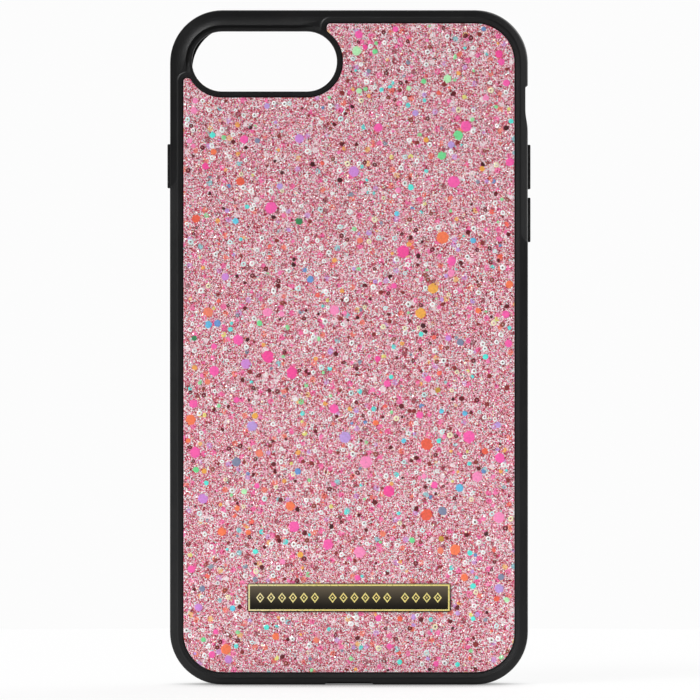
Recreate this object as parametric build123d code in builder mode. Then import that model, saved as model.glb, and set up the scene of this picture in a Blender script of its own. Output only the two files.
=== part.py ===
from build123d import *
import os

# Protective case for a 5.5-inch phone with two cameras, in millimetres.
# The decorated back faces -Y, the screen opening faces +Y, and +Z is up.
# The case stands on its bottom edge, with the origin at the middle of that edge.

# Outline of the case
case_width = 86.8
case_height = 163.6
case_depth = 11.6
corner_radius = 12.75
mid_height = case_height / 2
half_width = case_width / 2
back_y = -case_depth / 2
front_y = case_depth / 2

# Rim round the decorated back, from the outer edge inwards: a facet, a low lip that rises
# from it to a crest, and a shallow bevel down to the mouth of the recess
facet_width = 1.65
facet_drop = 0.15
edge_rounding = 0.6
lip_slope_width = 0.3
lip_height = 0.13
lip_crest_width = 0.12
bevel_width = 0.83
crest_drop = 0.2
recess_inset = facet_width + lip_slope_width + lip_crest_width + bevel_width
recess_bottom_inset = 2.65
recess_width = case_width - 2 * recess_inset
recess_height = case_height - recess_inset - recess_bottom_inset
recess_z = recess_bottom_inset + recess_height / 2
lip_y = back_y + crest_drop
rim_y = lip_y + lip_height
shoulder_drop = 1.6
shoulder_rounding = 1.4

# Layers of the back, from the outside inwards
recess_depth = 0.6
sheet_thickness = 0.6
film_thickness = 0.1
plate_thickness = 1.0
ledge_thickness = 0.7
lining_thickness = 0.6
sheet_face_y = back_y + recess_depth
film_face_y = sheet_face_y + sheet_thickness
plate_face_y = film_face_y + film_thickness
plate_inner_y = plate_face_y + plate_thickness
pocket_floor_y = plate_inner_y + ledge_thickness
sheet_gap = 0.38
plate_gap = 0.05
film_inset = 0.6

# Pocket for the phone, 158.4 x 78.1 x 7.5 mm
pocket_width = 78.3
pocket_height = 158.6
pocket_depth = 7.6
pocket_radius = 11.8
pocket_wall_x = pocket_width / 2
pocket_front_y = pocket_floor_y + pocket_depth
pocket_mid_y = pocket_floor_y + pocket_depth / 2
lip_overhang = 1.0
lip_rounding = 0.4
front_rounding = 1.0

# Window in the ledge, filled by the lining
window_width = 75.6
window_height = 152.4
window_radius = 9.0
lining_gap = 0.2
flange_width = 1.6

# Camera opening: a slot with a raised ring round it, merged into the top left corner
camera_x = -20.5
camera_z = 151.12
camera_span = 20.6
camera_radius = 7.3
ring_width = 1.1
ring_radius = camera_radius + ring_width
hole_chamfer = 0.15
left_tip_z = 147.45
top_tip_x = -5.75
tip_radius = 1.2

# Brow round the outer side of the camera opening: a flare that rises to a crest, and the
# groove between the crest and the ring. Both fade out along a ramp at each end.
groove_inner_radius = 7.95
groove_outer_radius = 8.75
groove_depth = 0.6
brow_crest_radius = 8.85
brow_base_radius = 10.6
brow_top_ramp = (-11.5, -7.3)
brow_left_ramp = (152.0, 148.5)
groove_top_ramp = (-10.5, -6.9)
groove_left_ramp = (151.0, 148.3)

# Nameplate near the bottom of the back
nameplate_width = 49.3
nameplate_height = 6.9
nameplate_z = 21.1
nameplate_corner = 0.5
nameplate_inner_corner = 0.15
nameplate_film = 0.05
blank_thickness = 0.35
relief_height = 0.15
enamel_height = 0.09
enamel_margin = 0.25
border_width = 0.37
lozenge_half_width = 1.0
lozenge_half_height = 1.25
lozenge_hole_half_width = 0.62
lozenge_hole_half_height = 0.78
lozenge_pitch = 2.65
group_gap = 4.3
dot_radius = 0.22
lozenge_groups = (6, 6, 4)

# Side buttons: a cap outside the wall, a retaining flange inside it and a nub behind
button_protrusion = 0.7
cap_depth = 3.2
cap_gap = 0.15
cap_rounding = 0.35
cap_edge_rounding = 0.25
skin_inner_x = 41.65
flange_outer_x = 41.55
flange_inner_x = 40.85
flange_extra = 0.35
flange_gap = 0.15
flange_seat_x = 40.15
nub_inner_x = 40.25
nub_length = 6.0
nub_depth = 2.2
membrane_outer_x = 40.15
membrane_thickness = 0.4
membrane_extra = 1.4
membrane_gap = 0.1
side_buttons = (
    ("power_button", -1, 125.8, 10.7),
    ("volume_up_button", 1, 125.6, 10.8),
    ("volume_down_button", 1, 112.75, 10.8),
)

# Finger relief beside the buttons: the broad shoulder starts at these heights
left_shoulder_z = 120.6
right_shoulder_z = 107.2
shoulder_rise = 2.8

# Mute switch opening in the right wall
switch_recess_top = 145.4
switch_recess_bottom = 134.0
switch_recess_depth = 0.6
switch_ramp_top = 0.45
switch_flat_end = 139.5
switch_slot_z = 140.4
switch_slot_length = 8.6
switch_slot_depth = 4.6
switch_slot_radius = 1.2

# Openings in the bottom wall
port_width = 11.9
port_depth = 5.8
port_radius = 2.4
port_reach = 5.5
notch_height = 0.68
notch_ramp = 0.7
notch_front_y = 4.6
speaker_x = 16.4
speaker_width = 12.4
speaker_depth = 2.0

# Sequins on the glitter sheet, by colour: across, up and diameter of each disc
sequin_thickness = 0.1
sequins = {
    "pink": (
        (-37.3, 141.6, 1.4), (-37.5, 139.2, 1.7), (-25.4, 132.2, 2.0), (-18.9, 115.6, 2.9),
        (-34.8, 125.7, 1.7), (-38.6, 131.9, 1.3), (2.4, 157.6, 1.9), (11.3, 158.9, 1.4),
        (3.9, 154.6, 1.3), (36.4, 152.9, 1.9), (36.9, 151.0, 1.7), (38.2, 145.9, 1.7),
        (33.2, 142.3, 1.6), (7.1, 135.1, 2.1), (28.4, 135.4, 2.6), (25.4, 121.9, 2.9),
        (39.0, 126.7, 2.0), (-19.7, 90.3, 2.2), (-16.3, 89.9, 1.4), (-3.5, 90.8, 2.4),
        (-26.9, 83.6, 2.5), (-32.7, 82.0, 1.4), (-19.6, 79.5, 2.9), (-32.7, 76.1, 2.4),
        (-13.8, 75.6, 2.8), (-37.7, 68.1, 2.1), (-27.3, 69.0, 1.4), (-3.6, 66.9, 2.3),
        (13.1, 105.0, 3.0), (24.9, 102.7, 2.2), (24.8, 99.8, 1.8), (10.9, 96.7, 1.4),
        (12.0, 119.9, 1.4), (38.0, 89.8, 1.9), (38.7, 82.7, 1.8), (-37.3, 56.3, 2.6),
        (-13.3, 38.3, 2.7), (-5.1, 34.0, 2.5), (-22.3, 48.2, 1.3), (-16.1, 29.8, 1.4),
        (-38.2, 28.0, 1.8), (4.2, 54.0, 3.0), (9.7, 46.9, 2.8), (29.1, 60.0, 3.0),
        (36.6, 55.0, 2.4), (31.1, 50.4, 2.5), (20.7, 48.4, 1.7), (18.2, 50.5, 1.3),
        (17.2, 65.4, 1.8), (36.4, 40.5, 2.7), (7.0, 79.0, 1.5), (19.2, 74.2, 1.6),
        (9.3, 73.0, 1.7), (2.6, 32.1, 2.8), (2.1, 25.9, 1.4), (7.1, 16.1, 1.5),
        (-33.2, 7.3, 1.7), (-32.3, 12.8, 1.3), (9.8, 9.3, 1.4), (21.1, 5.0, 1.4),
    ),
    "coral": (
        (-26.3, 122.0, 2.0), (-37.1, 113.0, 2.0), (-32.8, 129.2, 1.5), (22.7, 108.4, 3.0),
        (2.7, 107.7, 1.4), (36.8, 103.8, 1.2), (31.4, 90.7, 1.5), (38.9, 97.0, 1.9),
        (-34.2, 90.3, 2.4), (-34.3, 73.4, 1.4), (-38.4, 64.2, 2.5), (-39.0, 59.2, 1.2),
        (-21.7, 56.1, 1.9), (-14.2, 43.3, 2.3), (-30.8, 37.1, 2.1), (-27.1, 42.8, 1.3),
        (-24.4, 36.9, 1.3), (18.9, 58.3, 2.9), (18.8, 41.2, 2.8), (33.0, 56.6, 1.6),
        (6.5, 63.5, 1.4), (25.8, 32.7, 2.6), (22.2, 32.5, 1.6), (28.0, 26.0, 1.8),
        (8.2, 36.6, 1.5), (12.3, 16.0, 1.4), (-29.8, 8.6, 2.5), (-17.7, 11.7, 1.8),
        (-7.9, 10.8, 1.5), (35.8, 20.8, 1.4),
    ),
    "lilac": (
        (-19.9, 140.3, 1.4), (-16.8, 120.9, 1.5), (-12.0, 132.4, 2.2), (1.2, 124.4, 2.5),
        (16.1, 138.6, 1.5), (24.8, 130.9, 1.7), (-25.0, 77.8, 2.4), (-30.0, 98.9, 1.8),
        (-23.5, 62.7, 2.5), (-1.0, 60.0, 2.8), (-35.4, 45.1, 2.4), (24.1, 84.0, 1.4),
        (36.1, 63.0, 1.5), (-29.2, 6.1, 1.9), (-36.5, 18.7, 1.9), (36.4, 23.3, 2.2),
    ),
    "blue": (
        (-22.2, 131.9, 1.3), (-34.1, 87.3, 1.8), (-31.9, 87.6, 1.7), (-9.4, 98.3, 1.7),
        (30.1, 107.7, 1.4), (27.0, 83.0, 1.7), (-27.3, 54.0, 2.2), (-12.4, 51.7, 1.6),
        (28.1, 65.8, 1.3), (26.8, 47.7, 1.9), (22.7, 42.1, 2.1), (-35.6, 23.3, 1.5),
        (36.9, 26.1, 1.6),
    ),
    "aqua": (
        (-33.1, 133.3, 1.5), (-27.5, 112.4, 1.5), (39.3, 136.6, 1.2), (15.0, 120.6, 1.5),
        (11.6, 114.2, 1.3), (17.5, 85.0, 1.2), (33.1, 79.5, 1.4), (10.2, 74.6, 1.1),
        (22.4, 66.3, 1.2), (13.3, 59.1, 1.2), (21.8, 59.1, 1.2), (-22.7, 32.3, 1.3),
        (-28.2, 18.5, 1.4), (-20.0, 13.9, 1.3), (30.1, 23.9, 1.4), (30.1, 16.0, 1.2),
        (29.3, 31.9, 1.3), (12.3, 5.5, 1.3), (26.3, 4.9, 1.2), (-34.6, 48.9, 1.2),
    ),
    "green": (
        (1.9, 153.7, 2.3), (23.9, 146.9, 2.0), (26.5, 133.2, 2.3), (22.5, 128.3, 2.1),
        (2.5, 144.0, 1.4), (14.5, 144.6, 1.2), (6.3, 153.5, 1.3), (18.1, 146.3, 1.3),
        (-12.1, 112.4, 1.8), (-37.5, 84.0, 1.3), (-21.7, 87.6, 1.4), (-37.1, 52.1, 1.5),
        (-25.4, 46.8, 1.4), (15.3, 35.0, 1.4), (-35.3, 10.9, 1.2), (38.2, 20.6, 1.3),
    ),
    "gold": (
        (20.4, 96.1, 2.5), (17.4, 90.1, 2.6), (18.7, 132.1, 1.3), (32.3, 125.1, 1.3),
        (21.6, 71.4, 1.4), (-35.1, 51.8, 1.3), (-11.8, 31.5, 1.5), (22.4, 35.4, 1.4),
        (-22.8, 65.2, 1.5),
    ),
}


# How far a cut runs past the surface that it opens, and how near a corner is looked for
overrun = 1.0
nearby = 0.01


def facing_back(y):
    """Sketch plane at depth y, drawn as the back is seen, which extrudes towards the back."""
    return Plane.XZ.offset(-y)


def case_outline():
    """The outline of the case."""
    with Locations((0, mid_height)):
        RectangleRounded(case_width, case_height, corner_radius)


def camera_slot(radius, mode=Mode.ADD):
    """A slot round the two cameras."""
    with Locations((camera_x, camera_z)):
        SlotCenterToCenter(camera_span, 2 * radius, mode=mode)


def leave_out_camera_corner(sketch, slot_radius, tip_x, tip_z, rounding):
    """Take away the camera slot and the corner beyond it, and round the two tips left."""
    camera_slot(slot_radius, mode=Mode.SUBTRACT)
    with Locations((tip_x, tip_z)):
        Rectangle(case_width, case_height, align=(Align.MAX, Align.MIN), mode=Mode.SUBTRACT)
    top_tip = sketch.vertices().filter_by_position(Axis.X, tip_x - nearby, tip_x + nearby)
    left_tip = sketch.vertices().filter_by_position(Axis.Y, tip_z - nearby, tip_z + nearby)
    fillet(top_tip + left_tip, rounding)


def panel_outline(sketch, gap):
    """The outline of the panel recess, drawn in by a gap."""
    with Locations((0, recess_z)):
        RectangleRounded(
            recess_width - 2 * gap, recess_height - 2 * gap, corner_radius - recess_inset - gap
        )
    leave_out_camera_corner(
        sketch, ring_radius + gap, top_tip_x + gap, left_tip_z - gap, tip_radius - gap
    )


def window_outline(sketch, gap):
    """The outline of the window in the ledge, drawn in by a gap."""
    with Locations((0, mid_height)):
        RectangleRounded(window_width - 2 * gap, window_height - 2 * gap, window_radius - gap)
    notch_radius = ring_radius + flange_width + gap
    notch_x = camera_x + camera_span / 2 + notch_radius
    notch_z = camera_z - notch_radius
    with Locations((notch_x, notch_z)):
        RectangleRounded(
            case_width, case_height, notch_radius, align=(Align.MAX, Align.MIN), mode=Mode.SUBTRACT
        )
    on_side = sketch.vertices().filter_by_position(Axis.X, notch_x - nearby, notch_x + nearby)
    on_bottom = sketch.vertices().filter_by_position(Axis.Y, notch_z - nearby, notch_z + nearby)
    tips = [on_side.sort_by(Axis.Y)[-1], on_bottom.sort_by(Axis.X)[0]]
    fillet(tips, tip_radius - gap)


def corner_space(outer_y, full_y, end_y, top_ramp, left_ramp):
    """Space over the camera corner between two depths, which narrows to end_y along two ramps."""
    with BuildPart() as space:
        with BuildSketch(Plane.XY):
            with BuildLine():
                Polyline(
                    (-case_width, outer_y), (-case_width, full_y), (top_ramp[0], full_y),
                    (top_ramp[1], end_y), (top_ramp[1], outer_y), close=True,
                )
            make_face()
        extrude(amount=case_height)
        with BuildSketch(Plane.YZ):
            with BuildLine():
                Polyline(
                    (outer_y, case_height), (full_y, case_height), (full_y, left_ramp[0]),
                    (end_y, left_ramp[1]), (outer_y, left_ramp[1]), close=True,
                )
            make_face()
        extrude(amount=case_width, both=True, mode=Mode.INTERSECT)
    return space.part


def brow_profile():
    """Half of the brow in section: a concave flare up to the crest."""
    base_y = rim_y + groove_depth
    with BuildLine() as section:
        flare = TangentArc(
            (brow_base_radius, rim_y), (brow_crest_radius, back_y), tangent=(-1, 0)
        )
        Polyline(flare @ 1, (0, back_y), (0, base_y), (brow_base_radius, base_y), flare @ 0)
    make_face(section.edges())


def side_block(side, outer_x, inner_x, z, length, depth, radius, mode=Mode.ADD):
    """A rounded block through a side wall, from one distance off the middle to another."""
    with BuildSketch(Plane.YZ.offset(side * outer_x)) as block:
        with Locations((pocket_mid_y, z)):
            RectangleRounded(depth, length, radius)
    extrude(block.sketch, amount=-side * (outer_x - inner_x), mode=mode)


def save(builder, name):
    """Label a finished piece and write its STEP file."""
    builder.part.label = name
    export_step(builder.part, f"parts/{name}.step")


os.makedirs("parts", exist_ok=True)

# Broad shoulder: the outline with a wide soft edge, used to relieve the rim by the buttons
with BuildPart() as broad_body:
    with BuildSketch(facing_back(front_y)):
        case_outline()
    extrude(amount=front_y - rim_y)
    back_face = faces().sort_by(Axis.Y)[0]
    chamfer(back_face.edges(), facet_width, shoulder_drop, reference=back_face)
    shoulder_y = rim_y + shoulder_drop
    shoulder_edges = edges().filter_by_position(Axis.Y, shoulder_y - nearby, shoulder_y + nearby)
    fillet(shoulder_edges, shoulder_rounding)

with BuildPart() as shoulder_relief:
    with BuildSketch(facing_back(front_y)):
        for side, start_z in ((-1, left_shoulder_z), (1, right_shoulder_z)):
            outer_x = side * (half_width + overrun)
            edge_x = side * half_width
            crease_x = side * (half_width - facet_width)
            with BuildLine():
                Polyline(
                    (crease_x, start_z + shoulder_rise),
                    (0, start_z + shoulder_rise),
                    (0, case_height + overrun),
                    (outer_x, case_height + overrun),
                    (outer_x, start_z),
                    (edge_x, start_z),
                )
                TangentArc((crease_x, start_z + shoulder_rise), (edge_x, start_z), tangent=(0, -1))
            make_face()
    extrude(amount=case_depth + overrun)
    add(broad_body.part, mode=Mode.SUBTRACT)

# Brow: the flare round both ends of the camera slot and between them, with the slot cut out
with BuildPart() as brow:
    left_x = camera_x - camera_span / 2
    right_x = camera_x + camera_span / 2
    for end_x in (left_x, right_x):
        with BuildSketch(Plane((end_x, 0, camera_z))):
            brow_profile()
        revolve(axis=Axis((end_x, 0, camera_z), (0, 1, 0)))
    with BuildSketch(Plane((right_x, 0, camera_z), x_dir=(0, 0, 1), z_dir=(-1, 0, 0))):
        brow_profile()
    extrude(amount=camera_span)
    with BuildSketch(facing_back(rim_y + groove_depth)):
        camera_slot(groove_outer_radius)
    extrude(amount=case_depth, mode=Mode.SUBTRACT)
    brow_space = corner_space(
        rim_y + groove_depth, back_y, rim_y, brow_top_ramp, brow_left_ramp
    )
    add(brow_space, mode=Mode.INTERSECT)

# Groove between the brow and the camera ring
with BuildPart() as brow_groove:
    with BuildSketch(facing_back(rim_y + groove_depth)):
        camera_slot(groove_outer_radius)
        camera_slot(groove_inner_radius, mode=Mode.SUBTRACT)
    extrude(amount=case_depth)
    groove_space = corner_space(
        back_y - overrun, rim_y + groove_depth, rim_y, groove_top_ramp, groove_left_ramp
    )
    add(groove_space, mode=Mode.INTERSECT)

# Bumper frame
with BuildPart() as bumper_frame:
    with BuildSketch(facing_back(front_y)):
        case_outline()
    extrude(amount=front_y - rim_y)
    back_face = faces().sort_by(Axis.Y)[0]
    chamfer(back_face.edges(), facet_width, facet_drop, reference=back_face)
    facet_y = rim_y + facet_drop
    facet_edges = edges().filter_by_position(Axis.Y, facet_y - nearby, facet_y + nearby)
    fillet(facet_edges, edge_rounding)
    add(shoulder_relief.part, mode=Mode.SUBTRACT)
    fillet(faces().sort_by(Axis.Y)[-1].edges(), front_rounding)

    # Pocket for the phone and the lip round the screen
    with BuildSketch(facing_back(pocket_front_y)):
        with Locations((0, mid_height)):
            RectangleRounded(pocket_width, pocket_height, pocket_radius)
    extrude(amount=pocket_depth, mode=Mode.SUBTRACT)
    with BuildSketch(facing_back(front_y)):
        with Locations((0, mid_height)):
            RectangleRounded(
                pocket_width - 2 * lip_overhang,
                pocket_height - 2 * lip_overhang,
                pocket_radius - lip_overhang,
            )
    extrude(amount=pocket_depth, mode=Mode.SUBTRACT)
    fillet(faces().sort_by(Axis.Y)[-1].inner_wires().edges(), lip_rounding)

    # Lip round the recess
    with BuildSketch(facing_back(rim_y)) as lip_base:
        panel_outline(lip_base, -bevel_width - lip_crest_width - lip_slope_width)
    with BuildSketch(facing_back(lip_y)) as lip_crest:
        panel_outline(lip_crest, -bevel_width - lip_crest_width)
    loft(ruled=True)

    # Recess for the back plate and the glitter sheet, with a bevelled edge
    with BuildSketch(facing_back(plate_inner_y)) as recess:
        panel_outline(recess, 0)
    extrude(amount=plate_inner_y - back_y, mode=Mode.SUBTRACT)
    with BuildSketch(facing_back(rim_y)) as recess_edge:
        panel_outline(recess_edge, 0)
    with BuildSketch(facing_back(lip_y)) as recess_mouth:
        panel_outline(recess_mouth, -bevel_width)
    loft(ruled=True, mode=Mode.SUBTRACT)

    # Window in the ledge behind the back plate
    with BuildSketch(facing_back(pocket_floor_y)) as window:
        window_outline(window, 0)
    extrude(amount=ledge_thickness, mode=Mode.SUBTRACT)

    # Camera ring, flush with the rim, the brow and its groove, and the opening itself
    with BuildSketch(facing_back(plate_inner_y)):
        camera_slot(ring_radius)
    extrude(amount=plate_inner_y - rim_y)
    with BuildSketch(facing_back(rim_y)):
        camera_slot(ring_radius)
    extrude(amount=lip_height, mode=Mode.SUBTRACT)
    add(brow.part)
    add(brow_groove.part, mode=Mode.SUBTRACT)
    with BuildSketch(facing_back(pocket_floor_y)):
        camera_slot(camera_radius)
    extrude(amount=case_depth, mode=Mode.SUBTRACT)
    with BuildSketch(facing_back(rim_y + hole_chamfer)):
        camera_slot(camera_radius)
    with BuildSketch(facing_back(rim_y)):
        camera_slot(camera_radius + hole_chamfer)
    loft(ruled=True, mode=Mode.SUBTRACT)

    # Seats for the side buttons, from the wall's outer face to the phone
    for name, side, z, length in side_buttons:
        hole_length = length + 2 * cap_gap
        hole_depth = cap_depth + 2 * cap_gap
        side_block(side, half_width + overrun, skin_inner_x, z, hole_length, hole_depth,
                   cap_rounding, mode=Mode.SUBTRACT)
        flange_length = length + 2 * flange_extra + 2 * flange_gap
        flange_depth = cap_depth + 2 * flange_extra + 2 * flange_gap
        side_block(side, skin_inner_x, flange_seat_x, z, flange_length, flange_depth,
                   cap_rounding, mode=Mode.SUBTRACT)
        seat_length = length + membrane_extra + 2 * membrane_gap
        seat_depth = cap_depth + membrane_extra + 2 * membrane_gap
        side_block(side, flange_seat_x, pocket_wall_x - overrun, z, seat_length, seat_depth,
                   cap_rounding, mode=Mode.SUBTRACT)

    # Mute switch: a scooped recess over the whole edge and a slot through the wall
    with BuildSketch(facing_back(front_y + overrun)):
        recess_x = half_width - switch_recess_depth
        flat_top = switch_recess_top - switch_ramp_top
        with BuildLine():
            Spline(
                (half_width, switch_recess_bottom), (recess_x, switch_flat_end),
                tangents=[(0, 1), (0, 1)],
            )
            Polyline(
                (recess_x, switch_flat_end),
                (recess_x, flat_top),
                (half_width, switch_recess_top),
                (half_width + overrun, switch_recess_top),
                (half_width + overrun, switch_recess_bottom),
                (half_width, switch_recess_bottom),
            )
        make_face()
    extrude(amount=case_depth + 2 * overrun, mode=Mode.SUBTRACT)
    side_block(1, half_width + overrun, pocket_wall_x - overrun, switch_slot_z, switch_slot_length,
               switch_slot_depth, switch_slot_radius, mode=Mode.SUBTRACT)

    # Bottom wall: the plug's notch, the port and the two speaker slots
    with BuildSketch(facing_back(notch_front_y)):
        with BuildLine():
            Polyline(
                (-port_width / 2, 0),
                (-port_width / 2 + notch_ramp, notch_height),
                (port_width / 2 - notch_ramp, notch_height),
                (port_width / 2, 0),
                (0, -overrun),
                close=True,
            )
        make_face()
    extrude(amount=case_depth, mode=Mode.SUBTRACT)
    with BuildSketch(Plane.XY.offset(-overrun)):
        with Locations((0, pocket_mid_y)):
            RectangleRounded(port_width, port_depth, port_radius)
        with Locations((-speaker_x, pocket_mid_y), (speaker_x, pocket_mid_y)):
            SlotOverall(speaker_width, speaker_depth)
    extrude(amount=port_reach, mode=Mode.SUBTRACT)
save(bumper_frame, "bumper_frame")

# Back plate, held against the ledge by the recess walls
with BuildPart() as back_plate:
    with BuildSketch(facing_back(plate_inner_y)) as plate_shape:
        panel_outline(plate_shape, plate_gap)
    extrude(amount=plate_thickness)
save(back_plate, "back_plate")

# Adhesive film between the back plate and the glitter sheet
with BuildPart() as sheet_adhesive:
    with BuildSketch(facing_back(plate_face_y)) as film_shape:
        panel_outline(film_shape, film_inset)
    extrude(amount=film_thickness)
save(sheet_adhesive, "sheet_adhesive")

# Glitter sheet
with BuildPart() as glitter_sheet:
    with BuildSketch(facing_back(film_face_y)) as sheet_shape:
        panel_outline(sheet_shape, sheet_gap)
    extrude(amount=sheet_thickness)
save(glitter_sheet, "glitter_sheet")

# Sequins bonded to the face of the sheet, one node for each colour
for colour, discs in sequins.items():
    with BuildPart() as sequin_group:
        with BuildSketch(facing_back(sheet_face_y)):
            for x, z, diameter in discs:
                with Locations((x, z)):
                    Circle(diameter / 2)
        extrude(amount=sequin_thickness)
    save(sequin_group, f"sequins_{colour}")

# Soft lining in the window, bonded to the inner face of the back plate
with BuildPart() as inner_lining:
    with BuildSketch(facing_back(plate_inner_y + lining_thickness)) as lining_shape:
        window_outline(lining_shape, lining_gap)
    extrude(amount=lining_thickness)
save(inner_lining, "inner_lining")

# Nameplate: an adhesive film, a gilt blank with a raised border and ornament, and enamel
with BuildPart() as nameplate_adhesive:
    with BuildSketch(facing_back(sheet_face_y)):
        with Locations((0, nameplate_z)):
            Rectangle(nameplate_width - 2 * film_inset, nameplate_height - 2 * film_inset)
    extrude(amount=nameplate_film)
save(nameplate_adhesive, "nameplate_adhesive")

blank_back_y = sheet_face_y - nameplate_film
blank_face_y = blank_back_y - blank_thickness


def nameplate_outline(inset, mode=Mode.ADD):
    """The outline of the nameplate, drawn in from its edge."""
    with Locations((0, nameplate_z)):
        RectangleRounded(
            nameplate_width - 2 * inset, nameplate_height - 2 * inset,
            nameplate_corner if inset == 0 else nameplate_inner_corner, mode=mode,
        )


def lozenge_places():
    """The middle of each lozenge along the nameplate, group by group."""
    row_length = sum(lozenge_groups) - len(lozenge_groups)
    row_length = row_length * lozenge_pitch + (len(lozenge_groups) - 1) * group_gap
    x = -row_length / 2
    for count in lozenge_groups:
        for step in range(count):
            yield x + step * lozenge_pitch
        x += (count - 1) * lozenge_pitch + group_gap


def lozenge(width, height, mode=Mode.ADD):
    """One lozenge of the ornament, from its half width and half height."""
    Polygon((-width, 0), (0, height), (width, 0), (0, -height), mode=mode)


def ornament():
    """Hollow lozenges in three groups, each with a dot at its middle."""
    for x in lozenge_places():
        with Locations((x, nameplate_z)):
            lozenge(lozenge_half_width, lozenge_half_height)
            lozenge(lozenge_hole_half_width, lozenge_hole_half_height, mode=Mode.SUBTRACT)
            Circle(dot_radius)


with BuildPart() as nameplate_blank:
    with BuildSketch(facing_back(blank_back_y)):
        nameplate_outline(enamel_margin)
    extrude(amount=blank_thickness)
    with BuildSketch(facing_back(blank_face_y)):
        nameplate_outline(enamel_margin)
        nameplate_outline(enamel_margin + border_width, mode=Mode.SUBTRACT)
    extrude(amount=relief_height)
    with BuildSketch(facing_back(blank_face_y)):
        ornament()
    extrude(amount=relief_height)
save(nameplate_blank, "nameplate_blank")

with BuildPart() as nameplate_enamel:
    with BuildSketch(facing_back(blank_back_y)):
        nameplate_outline(0)
    extrude(amount=blank_thickness + enamel_height)
    add(nameplate_blank.part, mode=Mode.SUBTRACT)
save(nameplate_enamel, "nameplate_enamel")

# Side buttons and the elastic membranes that seal them from the phone
for name, side, z, length in side_buttons:
    with BuildPart() as button:
        side_block(side, half_width + button_protrusion, flange_outer_x, z, length, cap_depth,
                   cap_rounding)
        cap_face = faces().sort_by(Axis.X)[0 if side < 0 else -1]
        fillet(cap_face.edges(), cap_edge_rounding)
        side_block(side, flange_outer_x, flange_inner_x, z, length + 2 * flange_extra,
                   cap_depth + 2 * flange_extra, cap_rounding)
        side_block(side, flange_inner_x, nub_inner_x, z, nub_length, nub_depth, cap_rounding)
    save(button, name)
    with BuildPart() as membrane:
        side_block(side, membrane_outer_x, membrane_outer_x - membrane_thickness, z,
                   length + membrane_extra, cap_depth + membrane_extra, cap_rounding)
    save(membrane, name.replace("button", "membrane"))
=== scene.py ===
import math

import bmesh
import bpy
import numpy as np
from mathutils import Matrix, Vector
from mathutils.geometry import delaunay_2d_cdt


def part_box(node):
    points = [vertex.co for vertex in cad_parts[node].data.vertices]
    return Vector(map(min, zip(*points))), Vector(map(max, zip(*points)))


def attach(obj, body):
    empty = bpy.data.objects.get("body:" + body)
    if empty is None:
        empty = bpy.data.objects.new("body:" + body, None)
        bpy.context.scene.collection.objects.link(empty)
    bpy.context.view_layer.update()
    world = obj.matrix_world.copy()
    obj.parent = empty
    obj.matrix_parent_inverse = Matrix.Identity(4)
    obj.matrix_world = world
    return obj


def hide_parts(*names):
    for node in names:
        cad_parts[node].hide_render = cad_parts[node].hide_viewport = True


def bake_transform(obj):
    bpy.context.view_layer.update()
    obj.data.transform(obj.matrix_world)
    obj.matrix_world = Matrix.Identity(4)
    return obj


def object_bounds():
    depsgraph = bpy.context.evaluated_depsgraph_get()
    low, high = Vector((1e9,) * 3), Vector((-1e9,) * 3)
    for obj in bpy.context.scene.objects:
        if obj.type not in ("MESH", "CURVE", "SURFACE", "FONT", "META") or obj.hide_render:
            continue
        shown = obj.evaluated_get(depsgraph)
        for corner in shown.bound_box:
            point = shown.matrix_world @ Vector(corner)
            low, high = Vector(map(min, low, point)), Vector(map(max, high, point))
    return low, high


# Protective phone case: a soft black frame round a glitter panel with a gilt nameplate.
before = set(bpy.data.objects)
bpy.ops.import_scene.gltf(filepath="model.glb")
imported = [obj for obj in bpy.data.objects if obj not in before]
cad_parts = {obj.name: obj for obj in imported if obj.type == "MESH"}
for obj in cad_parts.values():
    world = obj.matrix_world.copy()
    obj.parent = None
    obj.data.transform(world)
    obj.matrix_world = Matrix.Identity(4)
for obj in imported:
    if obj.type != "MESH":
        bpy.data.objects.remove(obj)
cad_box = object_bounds()

MM = 0.001

# Framing of the picture
PICTURE_SIZE = 169.69 * MM
CAMERA_DISTANCE = 2500 * MM
SENSOR_WIDTH = 36.0
FRAMING_RIGHT = 0.25 * MM
FRAMING_DOWN = 0.66 * MM

# Glitter bed: a mosaic of small flat facets, coloured in cells of two sizes
BED_PITCH = 0.45 * MM
BED_RELIEF = 0.06 * MM
BED_CELLS = 3600
FINE_CELLS = 1.6
BURIED_SCALE = 420
BURIED_SHARE = 0.7

# Facets of a covered sheet, in shares of their pitch: how far a corner strays from its place
# in the grid, and how near it comes to the rim, which has corners of its own at each step
STRAY = 0.42
RIM_MARGIN = 0.6
RIM_STEP = 0.5 * MM

# Sequins: a dome of (share of radius, share of thickness)
SEQUIN_DOME = ((0.45, 1.0), (0.8, 0.93), (0.95, 0.75), (1.0, 0.45))
SEQUIN_SIDES = 24

# Loose flakes: each is turned from a profile of (share of radius, height above the sheet)
FLAKE_SIDES = 12
BORE_SIDES = 8
CHIP_SIDES = 6
ROOT = -0.05 * MM
RING_PROFILE = ((0.36, 0.08 * MM), (0.42, 0.16 * MM), (0.88, 0.16 * MM), (1.0, 0.1 * MM),
                (1.0, ROOT), (0.36, ROOT))
DOT_PROFILE = ((0.8, 0.07 * MM), (1.0, 0.04 * MM), (1.0, ROOT))
# A dark disc in a ring's hole is painted shade on the bed seen through it
BORE_PROFILE = ((0.9, 0.03 * MM), (1.0, 0.01 * MM), (1.0, -0.04 * MM))
BORE_SHARE = 0.42
CHIP_PROFILE = ((1.0, 0.0), (0.0, -0.12 * MM))
CHIP_RADII = (0.12 * MM, 0.22 * MM)
CHIP_RISE = (0.04 * MM, 0.1 * MM)
FLAKE_RISE = (-0.01 * MM, 0.02 * MM)

# Finding places for flakes: the share of a radius that others keep off, and how many places
# are tried for each one needed
KEEP_OFF = 0.85
TRIES_PER_CHIP = 1.5
TRIES_PER_FLAKE = 8

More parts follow.
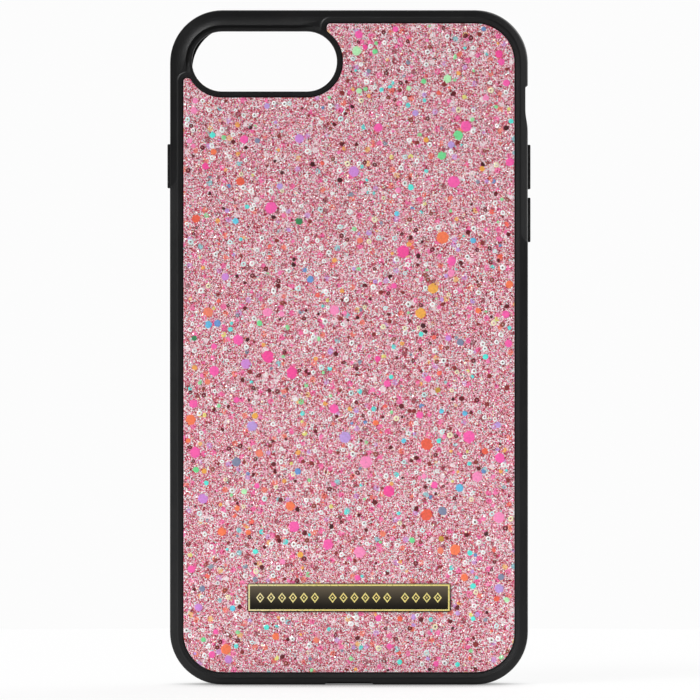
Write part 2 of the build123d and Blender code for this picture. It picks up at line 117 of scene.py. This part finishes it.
# Lining and its nap
LINING_PITCH = 0.8 * MM
LINING_RELIEF = 0.02 * MM

# Button membranes: how far their ends are rounded, and their rounded outline
MEMBRANE_ROUNDING = 0.35 * MM
MEMBRANE_ROWS = 14
MEMBRANE_SIDES = 24
MEMBRANE_SQUARENESS = 0.3

# Floor, and the shadow painted where the case stands on it
FLOOR_REACH = 500 * MM
FLOOR_SIDES = 96
FLOOR_GLOW = 0.875
FLOOR_GREY = 0.12
SHADOW_GREY = 0.15
SHADOW_DEPTHS = (0.45, 0.9)
CONTACT_REACH = 38 * MM
SHADOW_FADE = (30 * MM, 46 * MM)

# Soft lights round the case: towards the light, how narrow it is, and its strength
KEY_LIGHT = ((-0.50, -0.69, 0.52), 34.0, 12.0)
SIDE_LIGHT = ((0.92, -0.25, 0.10), 14.0, 0.8)
INSIDE_LIGHT = ((0.55, 0.75, 0.40), 8.0, 3.0)
AMBIENT_LIGHT = 0.13
BACKDROP_WHITE = 0.975

# Angles between faces beyond which an edge stays sharp
FLAKE_EDGE = math.radians(45)
ROUNDED_EDGE = math.radians(50)

# How near two depths are to count as the same
CLOSE = 0.01 * MM

TURN = 2 * math.pi


def srgb(red, green, blue):
    """A display colour from 0 to 255, as the linear colour that a shader takes."""
    shares = [c / 255 for c in (red, green, blue)]
    return (*[s / 12.92 if s <= 0.04045 else ((s + 0.055) / 1.055) ** 2.4 for s in shares], 1.0)


class Nodes:
    """A node tree, with short calls that add nodes to it."""

    def __init__(self, tree):
        self.tree = tree

    def join(self, sockets, values):
        """Set each socket to a plain value, or link it to another node's output."""
        for socket, value in zip(sockets, values):
            if isinstance(value, bpy.types.NodeSocket):
                self.tree.links.new(value, socket)
            else:
                socket.default_value = value

    def fill(self, node, values):
        """Set or link a node's sockets by name."""
        self.join([node.inputs[name.replace("_", " ")] for name in values], values.values())

    def add(self, kind, settings=None, **values):
        node = self.tree.nodes.new("ShaderNode" + kind)
        for name, value in (settings or {}).items():
            setattr(node, name, value)
        self.fill(node, values)
        return node

    def math(self, operation, *values):
        node = self.add("Math", {"operation": operation})
        self.join(node.inputs, values)
        return node.outputs[0]

    def dot(self, first, second):
        """The cosine between two directions."""
        node = self.add("VectorMath", {"operation": "DOT_PRODUCT"})
        self.join(node.inputs, (first, second))
        return node.outputs["Value"]


class Surface(Nodes):
    """A Principled material and its nodes."""

    def __init__(self, name, **values):
        self.material = bpy.data.materials.new(name)
        self.material.use_nodes = True
        super().__init__(self.material.node_tree)
        self.shader = self.tree.nodes["Principled BSDF"]
        self.place = self.tree.nodes.new("ShaderNodeTexCoord").outputs["Object"]
        self.fill(self.shader, values)

    def along(self, axis):
        """How far a point is along one axis."""
        return self.add("SeparateXYZ", Vector=self.place).outputs[axis]

    def noise(self, scale, detail=2.0, roughness=0.5, place=None):
        """A soft noise with so many cells to the metre."""
        node = self.add("TexNoise", Vector=place or self.place, Scale=scale, Detail=detail,
                        Roughness=roughness)
        return node.outputs["Fac"]

    def cells(self, scale, **values):
        """A mosaic of cells with so many to the metre."""
        return self.add("TexVoronoi", Vector=self.place, Scale=scale, **values)

    def between(self, value, low, high, from_low=0.0, from_high=1.0):
        """Map a value in one range to another range, and keep it inside."""
        node = self.add("MapRange", Value=value, From_Min=from_low, From_Max=from_high,
                        To_Min=low, To_Max=high)
        return node.outputs["Result"]

    def mix(self, share, first, second):
        """A colour between two others."""
        node = self.add("Mix", {"data_type": "RGBA"})
        self.join((node.inputs[0], node.inputs[6], node.inputs[7]), (share, first, second))
        return node.outputs[2]

    def palette(self, value, colours):
        """One colour out of several for each value from 0 to 1, by the share that each takes."""
        node = self.add("ValToRGB", Fac=value)
        ramp = node.color_ramp
        ramp.interpolation = "CONSTANT"
        total = sum(share for share, colour in colours)
        start = 0.0
        for i, (share, colour) in enumerate(colours):
            stop = ramp.elements[0] if i == 0 else ramp.elements.new(start / total)
            stop.color = srgb(*colour)
            start += share
        ramp.elements.remove(ramp.elements[-1])
        return node.outputs["Color"]

    def each(self):
        """A number from 0 to 1 for each loose part of the mesh."""
        return self.add("NewGeometry").outputs["Random Per Island"]

    def bump(self, height, distance, strength=1.0):
        """Raise the surface by a height, from 0 to 1, times a distance in metres."""
        node = self.add("Bump", Height=height, Distance=distance, Strength=strength)
        self.fill(self.shader, {"Normal": node.outputs["Normal"]})


# ---------------------------------------------------------------- materials

def moulded_rubber(name, colour, roughness, grain):
    """Soft moulded rubber with a spark-eroded grain, faint cloudiness and a painted highlight on
    its edges.
    """
    s = Surface(name, IOR=1.5, Specular_IOR_Level=0.36)
    cloud = s.noise(60, 3.0)
    speck = s.noise(2200, 2.0)
    # Edges, where a rounded normal turns from the true one, are lightened in colour: a painted
    # highlight.
    rounded = s.add("Bevel", {"samples": 4}, Radius=0.35 * MM).outputs["Normal"]
    turn = s.dot(rounded, s.add("NewGeometry").outputs["Normal"])
    edge = s.between(turn, 1.0, 0.0, 0.75, 0.98)
    dark = srgb(*[c * 0.82 for c in colour])
    light = srgb(*[c * 1.18 for c in colour])
    painted_edge_highlight = srgb(*[c * 1.7 + 8 for c in colour])
    body = s.mix(s.between(s.math("ADD", cloud, s.math("MULTIPLY", speck, 0.5)), 0, 1, 0.5, 1.0),
                 dark, light)
    s.fill(s.shader, {
        "Base Color": s.mix(s.math("MULTIPLY", edge, 0.6), body, painted_edge_highlight),
        "Roughness": s.between(cloud, roughness - 0.06, roughness + 0.06, 0.3, 0.7),
    })
    s.bump(s.noise(5200, 2.0, 0.6), grain)
    return s.material


def glitter_mosaic(name, colours, buried_colours):
    """Fine glitter: each cell of a mosaic takes one of the colours and its own gloss.

    Here and there a larger sequin shows faintly from under it.
    """
    s = Surface(name, Metallic=0.2, IOR=1.5)
    coarse = s.add("SeparateColor", Color=s.cells(BED_CELLS).outputs["Color"])
    fine = s.add("SeparateColor", Color=s.cells(BED_CELLS * FINE_CELLS).outputs["Color"])
    chosen = s.math("GREATER_THAN", fine.outputs["Green"], 0.5)
    flecks = s.mix(chosen, s.palette(coarse.outputs["Red"], colours),
                   s.palette(fine.outputs["Red"], colours))
    sequin = s.cells(BURIED_SCALE, Randomness=0.9)
    pick = s.add("SeparateColor", Color=sequin.outputs["Color"])
    inside = s.between(sequin.outputs["Distance"], 1.0, 0.0, 0.27, 0.34)
    present = s.math("GREATER_THAN", pick.outputs["Green"], 0.45)
    shows = s.math("MULTIPLY", s.math("MULTIPLY", inside, present), BURIED_SHARE)
    s.fill(s.shader, {
        "Base Color": s.mix(shows, flecks, s.palette(pick.outputs["Red"], buried_colours)),
        "Roughness": s.between(coarse.outputs["Green"], 0.38, 0.62),
    })
    s.bump(coarse.outputs["Blue"], 0.05 * MM, 0.6)
    return s.material


def flake_colours(name, colours, roughness, metallic):
    """Loose flakes: each takes one of the colours, with fine wear in its tone and gloss."""
    s = Surface(name, Metallic=metallic, IOR=1.5)
    wear = s.noise(1900, 3.0)
    tinted = s.add("HueSaturation", Color=s.palette(s.each(), colours),
                   Value=s.between(wear, 0.84, 1.12, 0.3, 0.7))
    s.fill(s.shader, {
        "Base Color": tinted.outputs["Color"],
        "Roughness": s.between(wear, roughness - 0.1, roughness + 0.1, 0.3, 0.7),
    })
    s.bump(wear, 0.01 * MM)
    return s.material


def gilt(name):
    """Cast gilt metal on a black lacquered blank: only the raised parts show the metal."""
    s = Surface(name)
    low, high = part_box("nameplate_blank")
    relief_top = low.y
    enamel_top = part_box("nameplate_enamel")[0].y
    raised = s.between(s.along("Y"), 1.0, 0.0, relief_top, (relief_top + enamel_top) / 2)
    tarnish = s.noise(900, 3.0)
    # The gold is paler towards the left end: a painted highlight.
    painted_highlight_left = s.between(s.along("X"), 0.6, 0.0, low.x, low.x + (high.x - low.x) * 0.3)
    gold = s.mix(painted_highlight_left, srgb(255, 240, 150), srgb(255, 248, 212))
    aged = s.mix(s.between(tarnish, 0.0, 0.5, 0.45, 0.75), gold, srgb(232, 196, 104))
    s.fill(s.shader, {
        "Base Color": s.mix(raised, srgb(12, 10, 8), aged),
        "Metallic": s.between(raised, 0.0, 0.5),
        "Roughness": s.between(tarnish, 0.22, 0.38, 0.3, 0.7),
    })
    s.bump(s.noise(6000, 2.0), 0.01 * MM)
    return s.material


def enamel(name):
    """Glossy stoved enamel, warm brown at the top of the field and black at the bottom: a painted
    reflection.
    """
    s = Surface(name, IOR=1.5, Specular_IOR_Level=0.15, Coat_Weight=0.1, Coat_Roughness=0.08)
    low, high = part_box("nameplate_enamel")
    painted_reflection = s.math("POWER", s.between(s.along("Z"), 0.0, 1.0, low.z, high.z), 1.8)
    swirl = s.noise(700, 3.0)
    s.fill(s.shader, {
        "Base Color": s.mix(painted_reflection, srgb(12, 10, 7), srgb(112, 101, 84)),
        "Roughness": s.between(swirl, 0.14, 0.26, 0.3, 0.7),
    })
    s.bump(swirl, 0.008 * MM)
    return s.material


def microfibre(name, colour):
    """Brushed microfibre: a short soft nap with streaks where it was brushed."""
    s = Surface(name, Sheen_Weight=0.5, Sheen_Roughness=0.4, Specular_IOR_Level=0.2)
    fibre = s.noise(4200, 4.0, 0.7)
    brushed = s.add("Mapping", Vector=s.place, Scale=(1.0, 1.0, 0.35))
    streak = s.noise(650, 3.0, 0.6, brushed.outputs["Vector"])
    tone = s.math("ADD", s.math("MULTIPLY", fibre, 0.75), s.math("MULTIPLY", streak, 0.25))
    s.fill(s.shader, {
        "Base Color": s.mix(s.between(tone, 0, 1, 0.35, 0.65), srgb(*[c * 0.7 for c in colour]),
                            srgb(*[c * 1.3 for c in colour])),
        "Roughness": s.between(fibre, 0.8, 0.98),
    })
    s.bump(tone, 0.12 * MM)
    return s.material


def clear_film(name):
    """Milky adhesive film."""
    s = Surface(name, IOR=1.45)
    cloud = s.noise(400, 3.0)
    s.fill(s.shader, {
        "Base Color": s.mix(cloud, srgb(214, 208, 196), srgb(236, 232, 222)),
        "Roughness": s.between(cloud, 0.35, 0.55),
    })
    s.bump(cloud, 0.01 * MM)
    return s.material


def moulded_plate(name):
    """Hard moulded plastic with a satin surface and faint flow marks."""
    s = Surface(name, IOR=1.58)
    stretched = s.add("Mapping", Vector=s.place, Scale=(1.0, 1.0, 0.2))
    flow = s.noise(90, 4.0, 0.6, stretched.outputs["Vector"])
    # A near black plastic, made darker still as painted shade in the gap round the glitter sheet,
    # where alone it shows.
    s.fill(s.shader, {
        "Base Color": s.mix(flow, srgb(16, 16, 17), srgb(22, 22, 23)),
        "Roughness": s.between(flow, 0.3, 0.45, 0.3, 0.7),
    })
    s.bump(s.noise(2600, 2.0), 0.01 * MM)
    return s.material


# Colours, each with the share of the flakes that take it
ROSE_MIX = (
    (22, (255, 255, 255)), (16, (246, 206, 216)), (20, (224, 136, 158)), (15, (206, 96, 118)),
    (12, (190, 44, 64)), (9, (138, 26, 40)), (3, (84, 16, 26)), (6, (250, 96, 168)),
    (3, (160, 222, 216)), (4, (240, 130, 92)),
)
BURIED_MIX = (
    (6, (255, 90, 168)), (3, (250, 116, 84)), (3, (255, 240, 244)), (2, (130, 34, 44)),
    (2, (214, 160, 226)), (1, (110, 214, 220)), (1, (250, 200, 110)),
)
# Fine flakes: how many of each family, and its colours
FAMILIES = {
    "rose": (7500, ((3, (226, 136, 158)), (3, (214, 100, 124)), (2, (208, 78, 102)))),
    "blush": (7500, ((3, (250, 216, 226)), (2, (240, 180, 196)), (2, (250, 130, 188)))),
    "pearl": (8500, ((5, (255, 255, 255)), (1, (200, 244, 240)), (1, (254, 240, 200)))),
    "crimson": (8500, ((4, (196, 44, 64)), (3, (146, 26, 40)), (1, (92, 16, 26)))),
}
SEQUIN_COLOURS = {
    "pink": ((5, (255, 98, 178)), (2, (255, 146, 196)), (1, (252, 80, 160))),
    "coral": ((3, (255, 128, 86)), (2, (242, 100, 76)), (1, (246, 134, 108))),
    "lilac": ((1, (214, 142, 222)), (1, (196, 160, 226))),
    "blue": ((1, (112, 156, 216)), (1, (132, 140, 168)), (1, (104, 190, 230))),
    "aqua": ((2, (96, 240, 226)), (1, (110, 214, 240))),
    "green": ((2, (122, 226, 152)), (1.6, (190, 246, 190)), (0.4, (60, 140, 90))),
    "gold": ((1, (200, 152, 62)), (2, (248, 178, 80))),
}
PEARL_COLOURS = ((6, (255, 255, 255)), (1, (250, 240, 200)), (1, (220, 246, 246)))
WINE_COLOURS = ((2, (112, 28, 36)), (1, (150, 70, 50)))
BURGUNDY_COLOURS = ((2, (104, 26, 34)), (2, (142, 48, 48)), (1, (72, 20, 26)))
# Colours of the painted shade in ring holes
RING_HOLE_SHADE_COLOURS = ((2, (128, 112, 112)), (1, (92, 62, 62)), (1, (168, 150, 128)))
CONFETTI_COLOURS = (
    (4, (104, 226, 222)), (3, (150, 226, 160)), (3, (248, 176, 96)), (2, (236, 226, 130)),
    (3, (206, 160, 226)), (2, (110, 150, 200)), (4, (255, 130, 186)), (3, (250, 110, 96)),
    (2, (140, 150, 168)),
)


# ---------------------------------------------------------------- geometry

def outlines(node, y):
    """The closed outlines, as arrays of (x, z), of a node's flat faces at depth y."""
    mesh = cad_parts[node].data
    following = {}
    for face in mesh.polygons:
        corners = [mesh.vertices[v].co for v in face.vertices]
        if any(abs(c.y - y) > CLOSE for c in corners):
            continue
        points = [(round(c.x, 7), round(c.z, 7)) for c in corners]
        for a, b in zip(points, points[1:] + points[:1]):
            if a in following.get(b, ()):
                following[b].remove(a)
            else:
                following.setdefault(a, []).append(b)
    loops = []
    while any(following.values()):
        start = next(a for a, ends in following.items() if ends)
        loop, point = [], start
        while following.get(point):
            loop.append(point)
            point = following[point].pop()
        loops.append(np.array(loop))
    return loops


def resampled(loop, step):
    """A closed outline with points no further apart than a step."""
    points = []
    for a, b in zip(loop, np.roll(loop, -1, axis=0)):
        count = max(1, math.ceil(np.linalg.norm(b - a) / step))
        points += [a + (b - a) * i / count for i in range(count)]
    return np.array(points)


def clearance(points, loop):
    """How far each point is inside a closed outline: below 0 outside it."""
    nearest = np.full(len(points), np.inf)
    inside = np.zeros(len(points), bool)
    for a, b in zip(loop, np.roll(loop, -1, axis=0)):
        run = b - a
        share = np.clip((points - a) @ run / max(run @ run, 1e-18), 0, 1)
        nearest = np.minimum(nearest, np.linalg.norm(points - a - share[:, None] * run, axis=1))
        crosses = (a[1] > points[:, 1]) != (b[1] > points[:, 1])
        if a[1] != b[1]:
            at = a[0] + (points[:, 1] - a[1]) / (b[1] - a[1]) * run[0]
            inside ^= crosses & (points[:, 0] < at)
    return np.where(inside, nearest, -nearest)


def jittered_grid(loop, pitch, rng):
    """Points in rows inside a closed outline, each moved a little at random."""
    low, high = loop.min(0), loop.max(0)
    xs, zs = np.meshgrid(np.arange(low[0], high[0], pitch), np.arange(low[1], high[1], pitch))
    points = np.stack([xs.ravel(), zs.ravel()], axis=1)
    points += rng.uniform(-STRAY, STRAY, points.shape) * pitch
    return points[clearance(points, loop) > RIM_MARGIN * pitch]


def face_outwards(mesh):
    """Turn the faces of closed parts outwards."""
    shape = bmesh.new()
    shape.from_mesh(mesh)
    bmesh.ops.recalc_face_normals(shape, faces=shape.faces)
    shape.to_mesh(mesh)
    shape.free()


def make_piece(name, vertices, faces, material, body="case", smooth_angle=None):
    """A mesh piece with one material that rides on a body, unless there is none."""
    mesh = bpy.data.meshes.new(name)
    mesh.from_pydata([tuple(v) for v in vertices], [], faces)
    face_outwards(mesh)
    mesh.materials.append(material)
    if smooth_angle is not None:
        mesh.shade_smooth()
        mesh.set_sharp_from_angle(angle=smooth_angle)
    piece = bpy.data.objects.new(name, mesh)
    bpy.context.scene.collection.objects.link(piece)
    if body:
        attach(piece, body)
    return piece


def covered_sheet(name, loop, face_y, back_y, relief, pitch, material, rng):
    """A closed sheet whose face, towards face_y, is a mosaic of small facets."""
    rim = resampled(loop, RIM_STEP)
    count = len(rim)
    points = np.concatenate([rim, jittered_grid(loop, pitch, rng)])
    edges = [(i, (i + 1) % count) for i in range(count)]
    flat, _, triangles, *_ = delaunay_2d_cdt([Vector(p) for p in points], edges, [], 1, 1e-9)
    flat = np.array([tuple(v) for v in flat])
    height = rng.uniform(-1.0, 1.0, len(flat)) * relief
    height[:count] = -relief
    outward = math.copysign(1.0, face_y - back_y)
    face = np.stack([flat[:, 0], face_y + outward * height, flat[:, 1]], axis=1)
    back = np.stack([rim[:, 0], np.full(count, back_y), rim[:, 1]], axis=1)
    start = len(face)
    faces = [tuple(t) for t in triangles]
    faces += [(i, j, start + j, start + i) for i, j in edges]
    faces.append(tuple(range(start, start + count)))
    return make_piece(name, np.concatenate([face, back]), faces, material)


def turned_flakes(name, places, profile, sides, material, rng, lean=0.1, closed=False,
                  hexagonal=0.05, oval=0.06, smooth_angle=None):
    """Flat flakes on the sheet, each turned from a profile and leaning a little.

    places holds x, z, radius and face depth. The outline is slightly hexagonal and oval. A
    profile that ends at the axis ends in a point, and a closed profile makes a ring.
    """
    count = len(places)
    angle = np.arange(sides) * TURN / sides
    spin = rng.uniform(0, TURN, (count, 1))
    oval_spin = rng.uniform(0, TURN, (count, 1))
    lobes = 1 + hexagonal * np.cos(6 * angle + spin) + oval * np.cos(2 * angle + oval_spin)
    slope = rng.normal(0, lean, (count, 2))
    pointed = profile[-1][0] == 0
    steps = profile[:-1] if pointed else profile
    rows = []
    for share, height in steps:
        reach = places[:, 2:3] * share * lobes
        x = reach * np.cos(angle + spin)
        z = reach * np.sin(angle + spin)
        y = places[:, 3:4] - height + slope[:, :1] * x + slope[:, 1:] * z
        rows.append(np.stack([places[:, :1] + x, y, places[:, 1:2] + z], axis=2))
    per_flake = len(steps) * sides
    vertices = np.stack(rows, axis=1).reshape(count, per_flake, 3)
    if pointed:
        tips = np.stack([places[:, 0], places[:, 3] - profile[-1][1], places[:, 1]], axis=1)
        vertices = np.concatenate([vertices, tips[:, None]], axis=1)
    faces = []
    for flake in range(count):
        first = flake * (per_flake + pointed)
        rings = [[first + r * sides + k for k in range(sides)] for r in range(len(steps))]
        if not closed:
            faces.append(tuple(rings[0]))
        for upper, lower in zip(rings, rings[1:] + ([rings[0]] if closed else [])):
            faces += [(upper[k], lower[k], lower[(k + 1) % sides], upper[(k + 1) % sides])
                      for k in range(sides)]
        if pointed:
            tip = first + per_flake
            faces += [(rings[-1][k], tip, rings[-1][(k + 1) % sides]) for k in range(sides)]
        elif not closed:
            faces.append(tuple(rings[-1][::-1]))
    return make_piece(name, vertices.reshape(-1, 3), faces, material, smooth_angle=smooth_angle)


class Panel:
    """The face of the glitter sheet, and what already lies on it."""

    def __init__(self):
        low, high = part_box("glitter_sheet")
        self.face_y, self.back_y = low.y, high.y
        self.low = np.array([low.x, low.z])
        self.high = np.array([high.x, high.z])
        self.outline = outlines("glitter_sheet", self.face_y)[0]
        plate_low, plate_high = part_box("nameplate_enamel")
        self.plate_low = np.array([plate_low.x, plate_low.z])
        self.plate_high = np.array([plate_high.x, plate_high.z])
        self.taken = np.zeros((0, 3))

    def on_sheet(self, points, radius):
        """Which points are on the sheet, clear of its edge and of the nameplate by a radius."""
        off_plate = np.maximum(self.plate_low - points, points - self.plate_high).max(1)
        return (clearance(points, self.outline) > radius) & (off_plate > radius)

    def fine(self, count, radii, depth, rng):
        """Places for many small flakes, which may overlap each other but no larger flake."""
        points = rng.uniform(self.low, self.high, (int(count * TRIES_PER_CHIP), 2))
        points = points[self.on_sheet(points, radii[1])]
        for x, z, taken in self.taken:
            points = points[np.hypot(points[:, 0] - x, points[:, 1] - z) > KEEP_OFF * taken]
        points = points[:count]
        radius = rng.uniform(*radii, len(points))
        return np.column_stack([points, radius, self.face_y - rng.uniform(*depth, len(points))])

    def large(self, count, radii, depth, rng):
        """Places for larger flakes, which keep off each other."""
        points = rng.uniform(self.low, self.high, (count * TRIES_PER_FLAKE, 2))
        radius = rng.uniform(*radii, len(points))
        free = self.on_sheet(points, radius)
        found = []
        for (x, z), reach in zip(points[free], radius[free]):
            gaps = np.hypot(self.taken[:, 0] - x, self.taken[:, 1] - z) - self.taken[:, 2]
            if gaps.min() > KEEP_OFF * reach and len(found) < count:
                found.append((x, z, reach))
                self.taken = np.vstack([self.taken, (x, z, reach)])
        found = np.array(found)
        return np.column_stack([found, self.face_y - rng.uniform(*depth, len(found))])


# ---------------------------------------------------------------- pieces

def dress_cad_nodes():
    """Give each CAD node that stays in view its material."""
    rubber = moulded_rubber("frame_rubber", (15, 15, 16), 0.38, 0.04 * MM)
    button_rubber = moulded_rubber("button_rubber", (9, 9, 10), 0.46, 0.01 * MM)
    film = clear_film("adhesive_film")
    dress = {
        "bumper_frame": rubber,
        "power_button": button_rubber,
        "volume_up_button": button_rubber,
        "volume_down_button": button_rubber,
        "back_plate": moulded_plate("plate_plastic"),
        "sheet_adhesive": film,
        "nameplate_adhesive": film,
        "nameplate_blank": gilt("gilt_metal"),
        "nameplate_enamel": enamel("nameplate_enamel"),
    }
    for node, material in dress.items():
        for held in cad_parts[node].material_slots:
            held.material = material


def lay_glitter(panel):
    """The faceted bed of the glitter sheet."""
    rng = np.random.default_rng(1)
    mosaic = glitter_mosaic("glitter_bed", ROSE_MIX, BURIED_MIX)
    bed = covered_sheet("glitter_bed", panel.outline, panel.face_y, panel.back_y, BED_RELIEF,
                        BED_PITCH, mosaic, rng)
    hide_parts("glitter_sheet")


def lay_sequins(panel):
    """A domed disc for each CAD sequin, where the CAD puts it."""
    rng = np.random.default_rng(2)
    for colour, colours in SEQUIN_COLOURS.items():
        node = f"sequins_{colour}"
        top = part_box(node)[0].y
        places = []
        for loop in outlines(node, top):
            centre = (loop.min(0) + loop.max(0)) / 2
            radius = (loop.max(0) - loop.min(0)).max() / 2
            places.append((*centre, radius, panel.face_y))
        places = np.array(places)
        panel.taken = np.vstack([panel.taken, places[:, :3]])
        thick = panel.face_y - top
        profile = [(share, thick * height) for share, height in SEQUIN_DOME] + [(1.0, ROOT)]
        material = flake_colours(f"sequin_{colour}", colours, 0.42, 0.05)
        piece = turned_flakes(f"sequin_discs_{colour}", places, profile, SEQUIN_SIDES, material,
                              rng, lean=0.015, oval=0.03, smooth_angle=ROUNDED_EDGE)
        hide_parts(node)


def lay_flakes(panel):
    """Rings, dots and small coloured flakes, then the fine flakes between them."""
    rng = np.random.default_rng(3)

    def strew(name, places, profile, sides, colours, roughness, metallic, **form):
        material = flake_colours(name, colours, roughness, metallic)
        piece = turned_flakes(name, places, profile, sides, material, rng, **form)

    def strew_large(name, count, radii, profile, colours, closed=False):
        places = panel.large(count, radii, FLAKE_RISE, rng)
        strew(name, places, profile, FLAKE_SIDES, colours, 0.4, 0.1, closed=closed,
              hexagonal=0.08, smooth_angle=FLAKE_EDGE)
        return places

    rings = strew_large("pearl_rings", 300, (0.48 * MM, 0.72 * MM), RING_PROFILE, PEARL_COLOURS,
                        closed=True)
    # Every second ring gets a dark disc in its hole: painted shade on the bed seen through it.
    strew("ring_hole_shades", rings[::2] * (1, 1, BORE_SHARE, 1), BORE_PROFILE, BORE_SIDES,
          RING_HOLE_SHADE_COLOURS, 0.5, 0.0)
    strew_large("burgundy_rings", 110, (0.4 * MM, 0.62 * MM), RING_PROFILE, WINE_COLOURS,
                closed=True)
    strew_large("burgundy_dots", 190, (0.35 * MM, 0.66 * MM), DOT_PROFILE, BURGUNDY_COLOURS)
    kept_clear = panel.taken
    strew_large("confetti", 300, (0.35 * MM, 0.7 * MM), DOT_PROFILE, CONFETTI_COLOURS)
    panel.taken = kept_clear
    for name, (count, colours) in FAMILIES.items():
        places = panel.fine(count, CHIP_RADII, CHIP_RISE, rng)
        strew(f"{name}_flakes", places, CHIP_PROFILE, CHIP_SIDES, colours, 0.4, 0.45, lean=0.3)


def lay_lining():
    """The microfibre lining, in the window behind the phone."""
    rng = np.random.default_rng(4)
    low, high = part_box("inner_lining")
    outline = outlines("inner_lining", high.y)[0]
    nap = microfibre("lining_microfibre", (62, 62, 67))
    lining = covered_sheet("lining_nap", outline, high.y, low.y, LINING_RELIEF, LINING_PITCH, nap,
                           rng)
    lining.data.shade_smooth()
    lining.data.set_sharp_from_angle(angle=ROUNDED_EDGE)
    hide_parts("inner_lining")


def half_membrane(low, high, end_z, middle_z):
    """Vertices and faces of half a thin pad, from one end to its middle.

    The outline draws in towards that end along a quarter circle.
    """
    middle = (low + high) / 2
    half_x, half_y = (high.x - low.x) / 2, (high.y - low.y) / 2
    run = np.append(np.array([0.0, 0.3]) * MEMBRANE_ROUNDING,
                    np.linspace(MEMBRANE_ROUNDING, abs(middle_z - end_z), MEMBRANE_ROWS))
    bend = np.minimum(run / MEMBRANE_ROUNDING, 1)
    pull = MEMBRANE_ROUNDING * (1 - np.sqrt(1 - (1 - bend) ** 2))
    sides = MEMBRANE_SIDES
    angle = np.arange(sides) * TURN / sides
    across, along = (np.sign(v) * abs(v) ** MEMBRANE_SQUARENESS
                     for v in (np.cos(angle), np.sin(angle)))
    rows = [np.column_stack([middle.x + (half_x - back / 3) * across,
                             middle.y + (half_y - back) * along,
                             np.full(sides, end_z + math.copysign(z, middle_z - end_z))])
            for z, back in zip(run, pull)]
    last = sides * (len(rows) - 1)
    faces = [tuple(range(sides)), tuple(range(last, last + sides))]
    for first in range(0, last, sides):
        for k in range(sides):
            after = (k + 1) % sides
            faces.append((first + k, first + after, first + sides + after, first + sides + k))
    return np.concatenate(rows), faces


def stretch_membranes():
    """Each membrane in two halves, one from each end to its middle."""
    material = moulded_rubber("membrane_rubber", (20, 20, 21), 0.5, 0.01 * MM)
    for button in ("power", "volume_up", "volume_down"):
        low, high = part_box(f"{button}_membrane")
        middle = (low + high) / 2
        for half, end_z in (("lower", low.z), ("upper", high.z)):
            vertices, faces = half_membrane(low, high, end_z, middle.z)
            piece = make_piece(f"{button}_membrane_{half}", vertices, faces, material,
                               body=None, smooth_angle=ROUNDED_EDGE)
            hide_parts(f"{button}_membrane")
            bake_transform(piece)


# ---------------------------------------------------------------- stage

def set_floor():
    """A wide white floor at the height of the case's bottom edge, with a soft contact shadow
    painted into its glow.
    """
    mesh = bpy.data.meshes.new("floor")
    angles = [TURN * k / FLOOR_SIDES for k in range(FLOOR_SIDES)]
    rim = [(FLOOR_REACH * math.cos(a), FLOOR_REACH * math.sin(a), 0) for a in angles]
    mesh.from_pydata(rim, [], [tuple(range(FLOOR_SIDES))])
    s = Surface("floor_paper", Roughness=0.9, Specular_IOR_Level=0.1,
                Emission_Strength=FLOOR_GLOW)
    # Painted shadow: the glow darkens where the floor is hidden nearby, and fades out past the
    # case's sides.
    contact = s.add("AmbientOcclusion", {"samples": 8}, Distance=CONTACT_REACH)
    beneath = s.between(s.math("ABSOLUTE", s.along("X")), 1.0, 0.0, *SHADOW_FADE)
    hidden = s.between(contact.outputs["AO"], 1.0, 0.0, *SHADOW_DEPTHS)
    s.fill(s.shader, {
        "Base Color": (FLOOR_GREY, FLOOR_GREY, FLOOR_GREY, 1),
        "Emission Color": s.mix(s.math("MULTIPLY", beneath, hidden), (1, 1, 1, 1),
                                (SHADOW_GREY, SHADOW_GREY, SHADOW_GREY, 1)),
    })
    mesh.materials.append(s.material)
    floor = bpy.data.objects.new("floor", mesh)
    bpy.context.scene.collection.objects.link(floor)


def set_world():
    """White to the camera, and soft light from a few directions to everything else."""
    world = bpy.data.worlds.new("studio")
    bpy.context.scene.world = world
    world.use_nodes = True
    nodes = Nodes(world.node_tree)
    direction = nodes.add("TexCoord").outputs["Generated"]
    total = AMBIENT_LIGHT
    for towards, sharpness, strength in (KEY_LIGHT, SIDE_LIGHT, INSIDE_LIGHT):
        facing = nodes.math("MAXIMUM", nodes.dot(direction, Vector(towards).normalized()), 0.0)
        total = nodes.math("MULTIPLY_ADD", nodes.math("POWER", facing, sharpness), strength, total)
    seen = nodes.add("LightPath").outputs["Is Camera Ray"]
    choice = nodes.add("Mix")
    nodes.join((choice.inputs[0], choice.inputs[2], choice.inputs[3]),
               (seen, total, BACKDROP_WHITE))
    nodes.fill(world.node_tree.nodes["Background"],
               {"Color": (1, 1, 1, 1), "Strength": choice.outputs[0]})


def set_camera():
    """A long lens at the middle of the case, looking straight at its back."""
    low, high = cad_box
    middle = (low + high) / 2
    camera = bpy.data.objects.new("camera", bpy.data.cameras.new("camera"))
    bpy.context.scene.collection.objects.link(camera)
    camera.location = (middle.x + FRAMING_RIGHT, low.y - CAMERA_DISTANCE, middle.z - FRAMING_DOWN)
    camera.rotation_euler = (math.radians(90), 0, 0)
    camera.data.sensor_width = SENSOR_WIDTH
    camera.data.lens = SENSOR_WIDTH * CAMERA_DISTANCE / PICTURE_SIZE
    bpy.context.scene.camera = camera
    bpy.context.scene.view_settings.view_transform = "Standard"


dress_cad_nodes()
panel = Panel()
lay_glitter(panel)
lay_sequins(panel)
lay_flakes(panel)
lay_lining()
stretch_membranes()
set_floor()
set_world()
set_camera()
